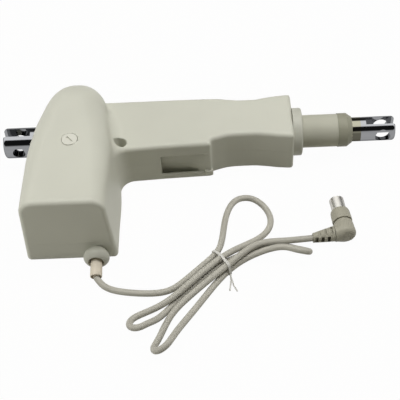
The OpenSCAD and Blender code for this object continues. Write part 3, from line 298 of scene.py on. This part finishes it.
def steady(x, points):
    """Smooth curve through points, without overshoot."""
    xs, ys = np.array(points, float).T
    h, d = np.diff(xs), np.diff(ys) / np.diff(xs)
    m = np.zeros(len(xs))
    for i in range(1, len(xs) - 1):
        if d[i - 1] * d[i] > 0:
            w1, w2 = 2 * h[i] + h[i - 1], h[i] + 2 * h[i - 1]
            m[i] = (w1 + w2) / (w1 / d[i - 1] + w2 / d[i])
    x = np.clip(x, xs[0], xs[-1])
    i = np.clip(np.searchsorted(xs, x) - 1, 0, len(h) - 1)
    t = (x - xs[i]) / h[i]
    return ((1 + 2 * t) * (1 - t) ** 2 * ys[i] + t * (1 - t) ** 2 * h[i] * m[i]
            + t * t * (3 - 2 * t) * ys[i + 1] + t * t * (t - 1) * h[i] * m[i + 1])


def straight(x, points):
    """Straight lines from point to point."""
    xs, ys = np.array(points, float).T
    return np.interp(x, xs, ys)


def step(a, b, x):
    """Soft rise from 0 at a to 1 at b."""
    t = np.clip((x - a) / (b - a), 0, 1)
    return t * t * (3 - 2 * t)


def join(a, b, r):
    """Both fields together, with their inner corner rounded."""
    return np.maximum(r, np.minimum(a, b)) - np.hypot(np.maximum(r - a, 0), np.maximum(r - b, 0))


def meet(a, b, r):
    """What two fields share, with its outer edge rounded."""
    return np.minimum(-r, np.maximum(a, b)) + np.hypot(np.maximum(r + a, 0), np.maximum(r + b, 0))


def bar(u, v, half_u, low, high, top_r, low_r):
    """Rounded rectangle across u, from low to high in v, with its own radius above and below."""
    mid, half_v = (low + high) / 2, (high - low) / 2
    r = np.where(v > mid, top_r, low_r)
    a, b = np.abs(u) - half_u + r, np.abs(v - mid) - half_v + r
    return np.hypot(np.maximum(a, 0), np.maximum(b, 0)) + np.minimum(np.maximum(a, b), 0) - r


def block(x, y, z, low, high, r):
    """Box from one corner to the other, with rounded edges."""
    q = [np.abs(v - (a + b) / 2) - (b - a) / 2 + r for v, a, b in zip((x, y, z), low, high)]
    return (np.sqrt(sum(np.maximum(v, 0) ** 2 for v in q))
            + np.minimum(np.maximum(np.maximum(q[0], q[1]), q[2]), 0) - r)


# Motor column: its axis, ends, half width, middle height and half height
AXIS_X = 48.5
COLUMN_NEAR = -109
COLUMN_FAR = 37
COLUMN_HALF = 35.5
COLUMN_MID = 13
COLUMN_TALL = 34
COLUMN_EDGE = 3.6
COLUMN_DRAFT = (3, 5)
DOME_START = 3
LEFT_START = -60
FOOT_DROP = 8

# Width to the right of the axis, and edge radii as shares of the half size, along y
RIGHT_WIDTH = [(-112, 35.5), (-85, 35.7), (-60, 36.3), (-40, 35.4), (-20, 32.6), (-10, 31), (3, 29.5),
               (20, 29.5)]
TOP_ROUND = [(-109, 0.36), (-65, 0.44), (-20, 0.62), (3, 0.8), (15, 0.82), (24, 0.87), (30.5, 0.92),
             (34.5, 0.96), (37, 0.99)]
LOW_ROUND = [(-65, 0.141), (-20, 0.2), (3, 0.42), (15, 0.8), (24, 0.87), (30.5, 0.92), (34.5, 0.96),
             (37, 0.99)]


def arch(y, start):
    """Quarter ellipse from 1 at the start to 0 at the column's far end."""
    reach = COLUMN_FAR - start
    return np.sqrt(np.clip(1 - (np.clip(y - start, 0, reach) / reach) ** 2, 0, 1))


TABLE_Y = np.linspace(-112, COLUMN_FAR, 600)
LEFT = COLUMN_HALF * arch(TABLE_Y, LEFT_START)
RIGHT = steady(TABLE_Y, RIGHT_WIDTH) * arch(TABLE_Y, DOME_START)
TALL = COLUMN_TALL * arch(TABLE_Y, DOME_START)
TOP_R = steady(TABLE_Y, TOP_ROUND)
LOW_R = steady(TABLE_Y, LOW_ROUND)


def column(x, y, z):
    left, right, tall = (np.interp(y, TABLE_Y, t) for t in (LEFT, RIGHT, TALL))
    u = x - AXIS_X
    u = u / (1 - np.where(u < 0, *COLUMN_DRAFT) / COLUMN_HALF * np.clip(z - BASE, -10, 75) / 68)
    small = np.minimum((left + right) / 2, tall)
    below = FOOT_DROP * (1 - step(-2, 18, y))
    side = bar(u - (right - left) / 2, z, (left + right) / 2, COLUMN_MID - tall - below, COLUMN_MID + tall,
               small * np.interp(y, TABLE_Y, TOP_R), small * np.interp(y, TABLE_Y, LOW_R))
    return np.maximum(meet(side, COLUMN_NEAR - y, COLUMN_EDGE), y - COLUMN_FAR)


# Housing: where it starts and ends, its top, and its sides as (x, y) points seen from above
HOUSING_BACK = 50
HOUSING_END = 225.9
HOUSING_TOP = 19.5
BOX_END = 158.4
BOX_FAR = 22
NEAR_SIDE = [(84, -24.5), (157, -24.2), (162, -22.6), (173, -19.6), (182, -19), (192, -19), (205, -20.5),
             (214, -22.2), (225.9, -23.2)]
FAR_SIDE = [(84, 25.2), (134, 25.2), (163, 24.8), (175, 23.0), (184, 21.9), (195, 21.9), (204, 23.6),
            (214, 25.2), (225.9, 26)]
BOX_SIDE = [(84, -32), (120, -30), (157, -28.6)]


def housing(x, y, z):
    near, far = steady(x, NEAR_SIDE), steady(x, FAR_SIDE)
    body = meet(np.abs(y - (near + far) / 2) - (far - near) / 2, x - HOUSING_END, 2.2)
    box = meet(np.maximum(straight(x, BOX_SIDE) - y, y - BOX_FAR), x - BOX_END, 1.4)
    plan = join(body, box, 1.5)
    return np.maximum(meet(plan, z - HOUSING_TOP, 3.5), HOUSING_BACK - x)


# Holes and wells, as (x, y) points seen from above
COVER_SCREWS = [(20.45, -64), (76.55, -64), (86, 20.5), (150, 20.5), (150, -21)]
SCREW_WELL_R = 4.0
SCREW_BOSS_R = 5.2
WELL = (86, -24)
WELL_R = 3.65
WELL_FLOOR = 7
SEAT = (50.4, -44.5)
SEAT_R = 6.03
SEAT_FLOOR = 45.5
STEM_R = 4.1
STEM_FLOOR = 40


def upright(x, y, at, r):
    return np.hypot(x - at[0], y - at[1]) - r


# Pocket: its left end, its ceiling, and the rise of its floor along x
POCKET_X = 117.5
POCKET_TOP = 7.5
POCKET_FLOOR = [(POCKET_X, 24.3), (140, 25.3), (149, 27.6), (154, 29)]
POCKET_STRAIGHT = -7


def pocket(x, y, z):
    floor = np.hypot(y, np.maximum(z, POCKET_STRAIGHT)) - steady(x, POCKET_FLOOR)
    deep = y - straight(x, BOX_SIDE)
    front = block(x, deep, z, (POCKET_X, -9, -13.5), (156, 20, POCKET_TOP), 0.2)
    behind = block(x, deep, z, (POCKET_X, 2.2, -19), (152, 20, POCKET_TOP), 0.2)
    boss = upright(x, y, COVER_SCREWS[-1], SCREW_BOSS_R)
    return np.maximum(np.maximum(np.minimum(front, behind), -floor), -boss)


def outside(x, y, z):
    soft = 4 + 8.5 * (1 - step(-8, 20, y))
    f = join(column(x, y, z), housing(x, y, z), soft)
    f = meet(f, BASE - z, 4 + 6 * step(-25, 5, y) * (1 - step(66, 90, x)))
    f = np.maximum(f, -pocket(x, y, z))
    foot = block(x, y, z, (152.8, -30, -17), (159.6, -25, -11.7), 0.7)
    f = np.minimum(f, foot)
    well = upright(x, y, WELL, WELL_R + 0.16 * np.clip(z - 11, 0, 8.5))
    f = meet(f, -np.maximum(well, WELL_FLOOR - z), 0.4)
    for at in COVER_SCREWS:
        f = meet(f, -np.maximum(upright(x, y, at, SCREW_WELL_R), z + 11), 0.5)
    return f


# Wall, and the openings for the rear clevis, the tube and the cable
WALL = 3
CLEVIS_HOLE_R = 12.65
CLEVIS_HOLE_END = 26
TUBE_HOLE_R = 15.4
TUBE_HOLE_START = 200
CABLE_X, CABLE_Z = 68, -11
CABLE_HOLE_R = 5.6
CABLE_HOLE_END = -100


def casing(x, y, z):
    f = outside(x, y, z)
    f = np.maximum(f, -(f + WALL))
    f = meet(f, -np.maximum(upright(x, y, SEAT, SEAT_R), SEAT_FLOOR - z), 0.1)
    f = np.maximum(f, -np.maximum(upright(x, y, SEAT, STEM_R), STEM_FLOOR - z))
    f = meet(f, -np.maximum(np.hypot(y, z) - CLEVIS_HOLE_R, x - CLEVIS_HOLE_END), 0.4)
    f = np.maximum(f, -np.maximum(np.hypot(y, z) - TUBE_HOLE_R, TUBE_HOLE_START - x))
    cable = np.hypot(x - CABLE_X, z - CABLE_Z) - CABLE_HOLE_R
    return np.maximum(f, -np.maximum(cable, y - CABLE_HOLE_END))


def slope(f, p, e):
    """Gradient of the field at points, by differences over 2e."""
    g = np.empty_like(p)
    for i in range(3):
        d = np.zeros(3)
        d[i] = e
        g[:, i] = (f(*(p + d).T) - f(*(p - d).T)) / (2 * e)
    return g


def skin(f, low, high, h):
    """Mesh of the field's surface: one point in each cell that it passes through."""
    axes = [np.arange(a, b + h, h) for a, b in zip(low, high)]
    grid = f(*np.meshgrid(*axes, indexing="ij"))
    inside = grid < 0
    corners = [(i, j, k) for i in (0, 1) for j in (0, 1) for k in (0, 1)]
    size = np.array(grid.shape) - 1

    def corner(a, c):
        return a[c[0]:c[0] + size[0], c[1]:c[1] + size[1], c[2]:c[2] + size[2]]

    count = sum(corner(inside, c).astype(np.int8) for c in corners)
    active = (count > 0) & (count < 8)
    cells = np.argwhere(active)
    number = np.full(active.shape, -1, np.int64)
    number[active] = np.arange(len(cells))
    points = np.zeros((len(cells), 3))
    hits = np.zeros(len(cells))
    for a in corners:
        for axis in range(3):
            if a[axis]:
                continue
            b = tuple(v + (i == axis) for i, v in enumerate(a))
            fa, fb = corner(grid, a)[active], corner(grid, b)[active]
            cut = (fa < 0) != (fb < 0)
            t = fa[cut] / (fa[cut] - fb[cut])
            here = cells[cut] + np.array(a, float)
            here[:, axis] += t
            points[cut] += here
            hits[cut] += 1
    points = points / hits[:, None] * h + np.array(low, float)
    quads = []
    for axis in range(3):
        u, v = (axis + 1) % 3, (axis + 2) % 3
        n = grid.shape[axis]
        change = inside.take(range(n - 1), axis) != inside.take(range(1, n), axis)
        at = np.argwhere(change)
        at = at[(at[:, u] > 0) & (at[:, v] > 0) & (at[:, u] < size[u]) & (at[:, v] < size[v])]
        ring = []
        for du, dv in ((-1, -1), (0, -1), (0, 0), (-1, 0)):
            c = at.copy()
            c[:, u] += du
            c[:, v] += dv
            ring.append(number[tuple(c.T)])
        ring = np.stack(ring, 1)
        out = inside[tuple(at.T)]
        ring[~out] = ring[~out][:, ::-1]
        quads.append(ring)
    quads = np.concatenate(quads)
    for _ in range(4):
        g = slope(f, points, 0.04)
        move = -(f(*points.T) / np.maximum((g * g).sum(1), 0.2))[:, None] * g
        reach = np.linalg.norm(move, axis=1)
        points += move * np.minimum(1, 0.5 * h / np.maximum(reach, 1e-9))[:, None]
    return points, quads


def half_skin(name, points, quads, side):
    """One shell: the mesh on one side of the parting plane, closed there."""
    mesh = bpy.data.meshes.new(name)
    mesh.from_pydata((points * MM).tolist(), [], quads.tolist())
    bm = bmesh.new()
    bm.from_mesh(mesh)
    everything = bm.verts[:] + bm.edges[:] + bm.faces[:]
    edges = bmesh.ops.bisect_plane(bm, geom=everything, dist=1e-7, plane_co=(0, 0, side * PARTING_GAP),
                                   plane_no=(0, 0, side), clear_inner=True)["geom_cut"]
    edges = [e for e in edges if isinstance(e, bmesh.types.BMEdge)]
    bmesh.ops.triangle_fill(bm, edges=edges, use_beauty=False, normal=(0, 0, -side))
    bm.normal_update()
    bm.to_mesh(mesh)
    bm.free()
    mesh.polygons.foreach_set("use_smooth", [True] * len(mesh.polygons))
    place = np.empty(len(mesh.vertices) * 3)
    mesh.vertices.foreach_get("co", place)
    normals = slope(casing, place.reshape(-1, 3) / MM, 0.3)
    normals /= np.maximum(np.linalg.norm(normals, axis=1), 1e-9)[:, None]
    corner = np.empty(len(mesh.loops), np.int32)
    mesh.loops.foreach_get("vertex_index", corner)
    sizes = np.empty(len(mesh.polygons), np.int32)
    mesh.polygons.foreach_get("loop_total", sizes)
    centre = np.empty(len(mesh.polygons) * 3)
    mesh.polygons.foreach_get("center", centre)
    on_cut = np.repeat(np.abs(centre.reshape(-1, 3)[:, 2]) < 1.2 * PARTING_GAP, sizes)
    each = normals[corner]
    each[on_cut] = (0, 0, -side)
    mesh.normals_split_custom_set(each.tolist())
    mesh.materials.append(LOOKS["casing_plastic"])
    thing = bpy.data.objects.new(name, mesh)
    bpy.context.scene.collection.objects.link(thing)
    return thing


CASING_CELL = 1.0
PARTING_GAP = 0.00005
points, quads = skin(casing, (8, -112, -24), (230, 40, 50), CASING_CELL)
for side, node in ((1, "upper_shell"), (-1, "lower_shell")):
    shell = half_skin(node + "_skin", points, quads, side)
    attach(shell, "casing")
    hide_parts(node)


# Turned and moulded pieces of the cable

def dress(thing, slot, *nodes):
    """Set a piece on the casing, in place of its nodes. The slot is not used."""
    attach(thing, "casing")
    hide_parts(*nodes)
    return thing


def add_piece(name, mesh, look):
    mesh.materials.append(look)
    thing = bpy.data.objects.new(name, mesh)
    bpy.context.scene.collection.objects.link(thing)
    return thing


TURNED_SIDES = 64
TURNED_SHARP = math.radians(38)


def turned(name, start, end, profile, look):
    """Round piece about the line from start to end; its closed profile is in (distance, radius)."""
    start, axis = Vector(start), (Vector(end) - Vector(start)).normalized()
    u = axis.orthogonal().normalized()
    v = axis.cross(u)
    n = len(profile)
    bm = bmesh.new()
    rings = []
    for k in range(TURNED_SIDES):
        a = 2 * math.pi * k / TURNED_SIDES
        out = math.cos(a) * u + math.sin(a) * v
        rings.append([bm.verts.new((start + d * axis + r * out) * MM) for d, r in profile])
    for k in range(TURNED_SIDES):
        a, b = rings[k], rings[(k + 1) % TURNED_SIDES]
        for i in range(n):
            bm.faces.new((a[i], a[(i + 1) % n], b[(i + 1) % n], b[i]))
    bmesh.ops.remove_doubles(bm, verts=bm.verts, dist=1e-6)
    bmesh.ops.dissolve_degenerate(bm, edges=bm.edges, dist=1e-6)
    bmesh.ops.recalc_face_normals(bm, faces=bm.faces)
    mesh = bpy.data.meshes.new(name)
    bm.to_mesh(mesh)
    bm.free()
    mesh.polygons.foreach_set("use_smooth", [True] * len(mesh.polygons))
    mesh.set_sharp_from_angle(angle=TURNED_SHARP)
    return add_piece(name, mesh, look)


def moulding(name, field, low, high, place, look, h):
    """Piece with the surface of a field that is drawn in its own frame, meshed in cells of size h."""
    points, quads = skin(field, low, high, h)
    normals = slope(field, points, 0.15)
    normals /= np.maximum(np.linalg.norm(normals, axis=1), 1e-9)[:, None]
    turn = np.array(place.to_3x3())
    points = (points @ turn.T + np.array(place.translation)) * MM
    mesh = bpy.data.meshes.new(name)
    mesh.from_pydata(points.tolist(), [], quads.tolist())
    mesh.polygons.foreach_set("use_smooth", [True] * len(mesh.polygons))
    mesh.normals_split_custom_set_from_vertices((normals @ turn.T).tolist())
    return add_piece(name, mesh, look)


GLAND_FROM, GLAND_TO = (68, -100, -11), (68, -120, -11)
GLAND_PROFILE = [
    (0, 4.46), (0, 5.45), (9, 5.45), (9, 6.9), (9.6, 7.3), (11, 8.4), (12.6, 9.4), (14, 9.9), (15, 10),
    (16, 9.9), (17, 9.55), (18, 8.95), (18.9, 8.15), (19.6, 7.2), (19.95, 6.5), (20, 6.1), (19.6, 5.6),
    (18, 4.9), (16, 4.55),
]
gland = turned("cable_gland_turned", GLAND_FROM, GLAND_TO, GLAND_PROFILE, SHADED_CREAM)
dress(gland, "casing_plastic", "cable_gland")

RELIEF_FROM, RELIEF_TO = (68, -106, -10.7), (68, -131, -14.5)
RELIEF_PROFILE = [
    (0, 0), (0, 4.35), (12, 4.4), (20, 4.55), (24.4, 4.6), (25, 4.45), (25.28, 4.1), (25.28, 3.75), (23, 3.5),
    (23, 2.5), (25.28, 2.5), (25.28, 0),
]
relief = turned("strain_relief_turned", RELIEF_FROM, RELIEF_TO, RELIEF_PROFILE, LOOKS["relief"])
dress(relief, "relief", "strain_relief")


# Plug: its barrel points along y and its neck along -x in the plug's own frame

PLUG_AT = Vector((259.6, -96.6, -12.9))
PLUG_TURN = math.radians(6)
NECK_TURN = math.radians(4)
NECK_SHIFT = Vector((0, 1.7, 0))
PLUG = Matrix.Translation(PLUG_AT) @ Matrix.Rotation(PLUG_TURN, 4, "Z")
NECK = Matrix.Translation(PLUG_AT - NECK_SHIFT) @ Matrix.Rotation(NECK_TURN, 4, "Z")
HEEL = 6.6
BARREL_END = 6.9
BARREL_R = [(-6.6, 8.1), (-2, 8.0), (7, 7.5)]
CORE_R = 6.4
CORE_END = 8.05
NECK_END = 8.5


def elbow(x, y, z):
    across = np.hypot(x, z)
    barrel = meet(across - straight(y, BARREL_R), -HEEL - y, 3.6)
    barrel = meet(barrel, y - BARREL_END, 0.6)
    neck = np.maximum(meet(np.hypot(y + 0.6 - 0.176 * x, z) - 6 + 0.047 * x, -NECK_END - x, 0.2), x)
    core = np.maximum(np.maximum(across - CORE_R, y - CORE_END), -y)
    return np.minimum(join(barrel, neck, 3), core)


SLEEVE_START = -8.55
SLEEVE_LEN = 16.5
SLEEVE_R = 6.1
SLEEVE_TAPER = 2.3
SLEEVE_DROP = 3.6
SLEEVE_LEAN = 0.5
WINDOWS = (4.7, 9.3, 13.9)
NOTCHES = (2.4, 7.0, 11.6)


def ribbed(x, y, z):
    s = SLEEVE_START - x
    part = s / SLEEVE_LEN
    z = z + SLEEVE_DROP * part
    y = y + SLEEVE_LEAN - SLEEVE_LEAN * part
    f = meet(np.hypot(y, z) - SLEEVE_R + SLEEVE_TAPER * part, np.maximum(-s, s - SLEEVE_LEN), 0.2)
    for at in WINDOWS:
        window = np.maximum(np.maximum(np.abs(s - at) - 1.2, np.abs(z) - 2.9), 1.0 - np.abs(y))
        f = np.maximum(f, -window)
    for at in NOTCHES:
        notch = np.maximum(np.maximum(np.abs(s - at) - 0.8, 3.3 - np.abs(z)), np.abs(y) - 3.4)
        f = np.maximum(f, -notch)
    return f


plug_body = moulding("plug_body_moulded", elbow, (-10, -10, -10), (10, 10, 10), PLUG, LOOKS["plug_plastic"],
                     0.3)
dress(plug_body, "plug_plastic", "plug_body")
plug_relief = moulding("plug_relief_moulded", ribbed, (-27, -7, -11), (-7, 7, 7), NECK, LOOKS["plug_plastic"],
                       0.25)
dress(plug_relief, "plug_plastic", "plug_relief")

RING_FROM, RING_TO = PLUG @ Vector((0, 8.1, 0)), PLUG @ Vector((0, 19, 0))
RING_PROFILE = [
    (0, 0), (0, 7.5), (0.3, 7.8), (2, 7.85), (8.8, 7.6), (10.1, 7.4), (10.7, 7.0), (10.9, 6.4), (10.9, 5.76),
    (6.9, 5.76), (6.9, 0),
]
plug_ring = turned("plug_ring_turned", RING_FROM, RING_TO, RING_PROFILE, LOOKS["plug_plastic"])
dress(plug_ring, "plug_plastic", "plug_ring")


# Stage

FLOOR_COLOUR = (0.46, 0.45, 0.39, 1)
FLOOR_WHITE = 0.975
FLOOR_HALF = 4
FLOOR_GAP = 0.05
SKY_DIFFUSE = (0.095, 0.092, 0.078, 1)
SKY_GLOSS = 1.9
# Brightness that metal mirrors, by angle in degrees from overhead towards -y
SKY_BANDS = [(-100, 0.5), (-94, 0.02), (-46, 0.03), (-38, 1), (18, 1), (24, 0.01), (62, 0.01), (72, 0.5)]


def maths(nodes, links, operation, a, b):
    """Output of a maths node whose inputs are sockets or, for b, a number."""
    n = nodes.new("ShaderNodeMath")
    n.operation = operation
    links.new(a, n.inputs[0])
    if isinstance(b, (int, float)):
        n.inputs[1].default_value = b
    else:
        links.new(b, n.inputs[1])
    return n.outputs[0]


def make_floor():
    """White to the eye and in mirrors, but with a share of shadow, and pale as a source of bounced light."""
    m, nodes, links, shader = tree_of("floor")
    path = nodes.new("ShaderNodeLightPath").outputs
    seen = maths(nodes, links, "MAXIMUM", path["Is Camera Ray"], path["Is Glossy Ray"])
    seen = maths(nodes, links, "MAXIMUM", seen, path["Is Transmission Ray"])
    shader.inputs["Base Color"].default_value = FLOOR_COLOUR
    shader.inputs["Roughness"].default_value = 0.9
    shader.inputs["Specular IOR Level"].default_value = 0
    glow = nodes.new("ShaderNodeEmission")
    glow.inputs["Strength"].default_value = 1
    mix = nodes.new("ShaderNodeMixShader")
    links.new(maths(nodes, links, "MULTIPLY", seen, FLOOR_WHITE), mix.inputs["Fac"])
    links.new(shader.outputs["BSDF"], mix.inputs[1])
    links.new(glow.outputs["Emission"], mix.inputs[2])
    links.new(mix.outputs["Shader"], nodes["Material Output"].inputs["Surface"])
    mesh = bpy.data.meshes.new("floor")
    h, z = FLOOR_HALF, (BASE - FLOOR_GAP) * MM
    mesh.from_pydata([(-h, -h, z), (h, -h, z), (h, h, z), (-h, h, z)], [], [(0, 1, 2, 3)])
    mesh.materials.append(m)
    floor = bpy.data.objects.new("floor", mesh)
    bpy.context.scene.collection.objects.link(floor)


def make_world():
    """Even light for dull surfaces, bands of light and dark for metal to mirror, white behind the object."""
    world = bpy.data.worlds.new("world")
    world.use_nodes = True
    bpy.context.scene.world = world
    nodes, links = world.node_tree.nodes, world.node_tree.links
    path = nodes.new("ShaderNodeLightPath").outputs
    place = nodes.new("ShaderNodeSeparateXYZ")
    links.new(nodes.new("ShaderNodeTexCoord").outputs["Generated"], place.inputs["Vector"])
    front = maths(nodes, links, "MULTIPLY", place.outputs["Y"], -1)
    turn = maths(nodes, links, "ARCTAN2", front, place.outputs["Z"])
    spot = nodes.new("ShaderNodeMapRange")
    spot.inputs["From Min"].default_value = -math.pi
    spot.inputs["From Max"].default_value = math.pi
    links.new(turn, spot.inputs["Value"])
    bands = ramp(nodes, [((a + 180) / 360, (v, v, v)) for a, v in SKY_BANDS])
    links.new(spot.outputs["Result"], bands.inputs["Fac"])
    bright = nodes.new("ShaderNodeVectorMath")
    bright.operation = "SCALE"
    bright.inputs["Scale"].default_value = SKY_GLOSS
    links.new(bands.outputs["Color"], bright.inputs[0])
    mix = nodes.new("ShaderNodeMix")
    mix.data_type = "RGBA"
    mix.inputs["A"].default_value = SKY_DIFFUSE
    links.new(path["Is Glossy Ray"], mix.inputs["Factor"])
    links.new(bright.outputs[0], mix.inputs["B"])
    plain = nodes.new("ShaderNodeMix")
    plain.data_type = "RGBA"
    plain.inputs["B"].default_value = (1, 1, 1, 1)
    away = maths(nodes, links, "MAXIMUM", path["Is Camera Ray"], path["Is Transmission Ray"])
    links.new(away, plain.inputs["Factor"])
    links.new(mix.outputs["Result"], plain.inputs["A"])
    back = nodes["Background"]
    links.new(plain.outputs["Result"], back.inputs["Color"])
    back.inputs["Strength"].default_value = 1


def lamp(name, place, aim, size, power):
    """Soft area light that mirrors don't show."""
    data = bpy.data.lights.new(name, "AREA")
    data.shape = "RECTANGLE"
    data.size, data.size_y = size
    data.energy = power
    thing = bpy.data.objects.new(name, data)
    thing.visible_glossy = False
    thing.location = place
    thing.rotation_euler = (Vector(aim) - Vector(place)).to_track_quat("-Z", "Y").to_euler()
    bpy.context.scene.collection.objects.link(thing)


make_floor()
make_world()
lamp("key", (0.2, 0.15, 1.5), (0.13, -0.03, 0), (1.4, 0.7), 20.1)
lamp("fill", (1.3, 0.1, 0.7), (0.13, -0.05, 0), (0.8, 0.8), 4)
lamp("side", (-1.3, -0.5, 0.38), (0.04, -0.08, 0), (0.5, 0.5), 9)

bpy.context.scene.view_settings.view_transform = "Standard"
